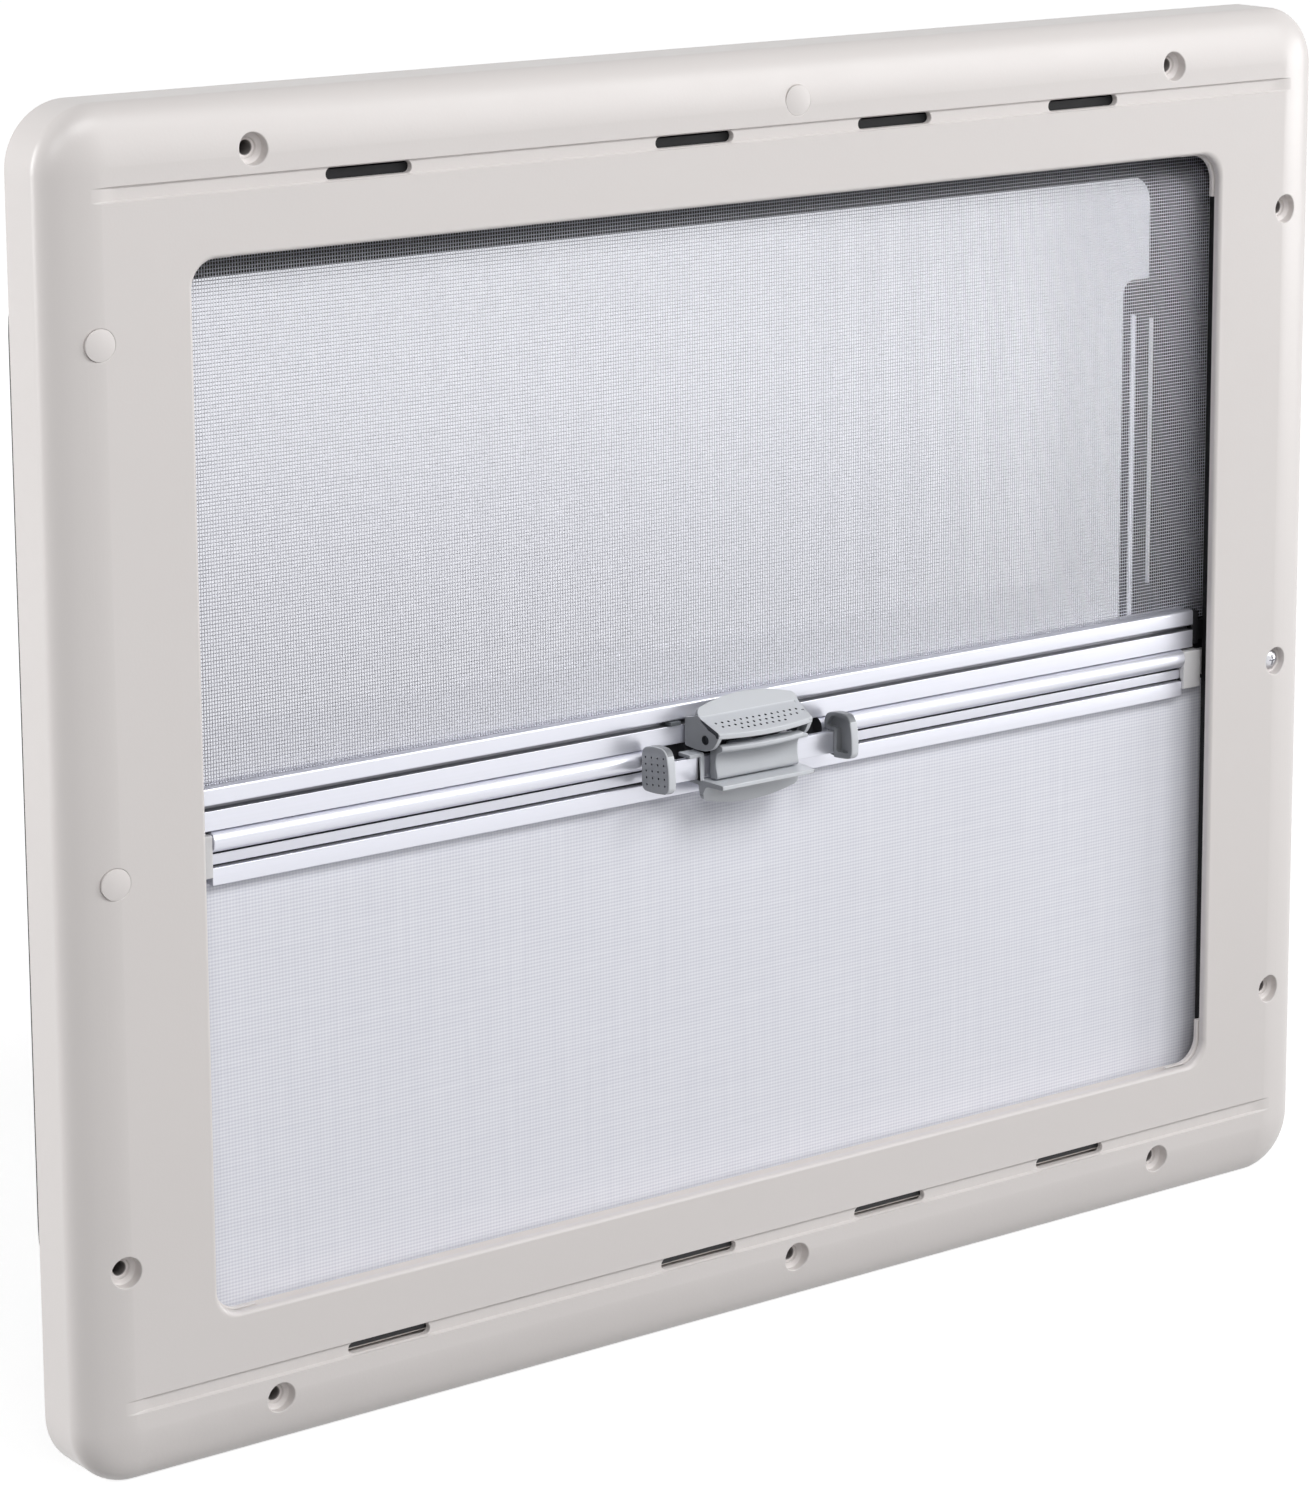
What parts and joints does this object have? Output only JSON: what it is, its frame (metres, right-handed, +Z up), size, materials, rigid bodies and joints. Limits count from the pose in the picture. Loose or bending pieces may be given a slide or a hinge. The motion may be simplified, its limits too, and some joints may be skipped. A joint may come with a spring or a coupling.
{
  "type": "hinged caravan window with blind and flyscreen",
  "caption": "Hinged caravan window: inner trim frame with vents, pull-down flyscreen, pull-up blackout blind and a pinch catch, over a double acrylic pane in an outer frame.",
  "frame": {"origin": "middle of the trim frame's lower rim, on its back face, where it bears on the inside of the wall", "axes": "+X to the right as seen from the room, +Y out through the wall, +Z up"},
  "size_m": [0.622, 0.0775, 0.522],
  "materials": {
    "trim_plastic": "fine satin moulding grain",
    "cap_plastic": "satin",
    "screw_zinc": "bright zinc",
    "cassette_black": "matt",
    "cassette_beige": "matt",
    "roller_grey": "matt",
    "screen_mesh": "open woven mesh",
    "blind_cloth": "slub linen weave",
    "bar_aluminium": "silver anodised, drawn along its length",
    "glider_black": "matt",
    "end_grey": "satin",
    "catch_grey": "satin",
    "catch_dark": "matt",
    "pin_steel": "ground",
    "frame_black": "fine grain",
    "seal_rubber": "matt",
    "pane_acrylic": "clear",
    "stay_metal": "bright"
  },
  "bodies": {
    "window": {"trim_frame": "trim_plastic", "cap_top": "cap_plastic", "cap_left_upper": "cap_plastic", "cap_left_middle": "cap_plastic", "fixing_screw": "screw_zinc", "corner_blocks": "trim_plastic", "screen_cassette": "cassette_black", "blind_cassette": "cassette_beige", "screen_roller": "roller_grey", "blind_roller": "blind_cloth", "guide_left": "cassette_black", "guide_right": "cassette_black", "flyscreen": "screen_mesh", "screen_bar": "bar_aluminium", "screen_glider_left": "glider_black", "screen_glider_right": "glider_black", "blackout_blind": "blind_cloth", "blind_bar": "bar_aluminium", "blind_end_left": "end_grey", "blind_end_right": "end_grey", "catch_base": "catch_dark", "catch_pin": "pin_steel", "catch_block": "catch_grey", "catch_tray": "catch_grey", "bar_clip": "catch_dark", "outer_frame": "frame_black", "head_rail": "frame_black", "sill_rail": "frame_black", "pane_seal": "seal_rubber", "pane_inner": "pane_acrylic", "pane_spacer": "frame_black", "pane_outer": "pane_acrylic", "hinge_rail": "frame_black", "stay_rail_left": "frame_black", "stay_rail_right": "frame_black", "stay_tubes": "stay_metal", "stay_rods": "stay_metal", "pane_latch_left": "frame_black", "pane_latch_right": "frame_black"},
    "lever": {"catch_lever": "catch_grey"},
    "grip_l": {"grip_left": "catch_grey", "grip_strip_left": "bar_aluminium"},
    "grip_r": {"grip_right": "catch_grey", "grip_strip_right": "bar_aluminium"}
  },
  "joints": [
    {"name": "lever_tilt", "type": "hinge", "parent": "window", "child": "lever", "pos_m": [0, -0.0335, 0.2443], "axis": [1, 0, 0], "range_deg": [0, 15], "stiffness_Nm_per_rad": 0.05, "springref_deg": -20.05},
    {"name": "grip_left_squeeze", "type": "slide", "parent": "window", "child": "grip_l", "axis": [1, 0, 0], "range_m": [0, 0.004], "stiffness_N_per_m": 400, "springref_m": -0.004},
    {"name": "grip_right_squeeze", "type": "slide", "parent": "window", "child": "grip_r", "axis": [-1, 0, 0], "range_m": [0, 0.004], "stiffness_N_per_m": 400, "springref_m": -0.004}
  ]
}
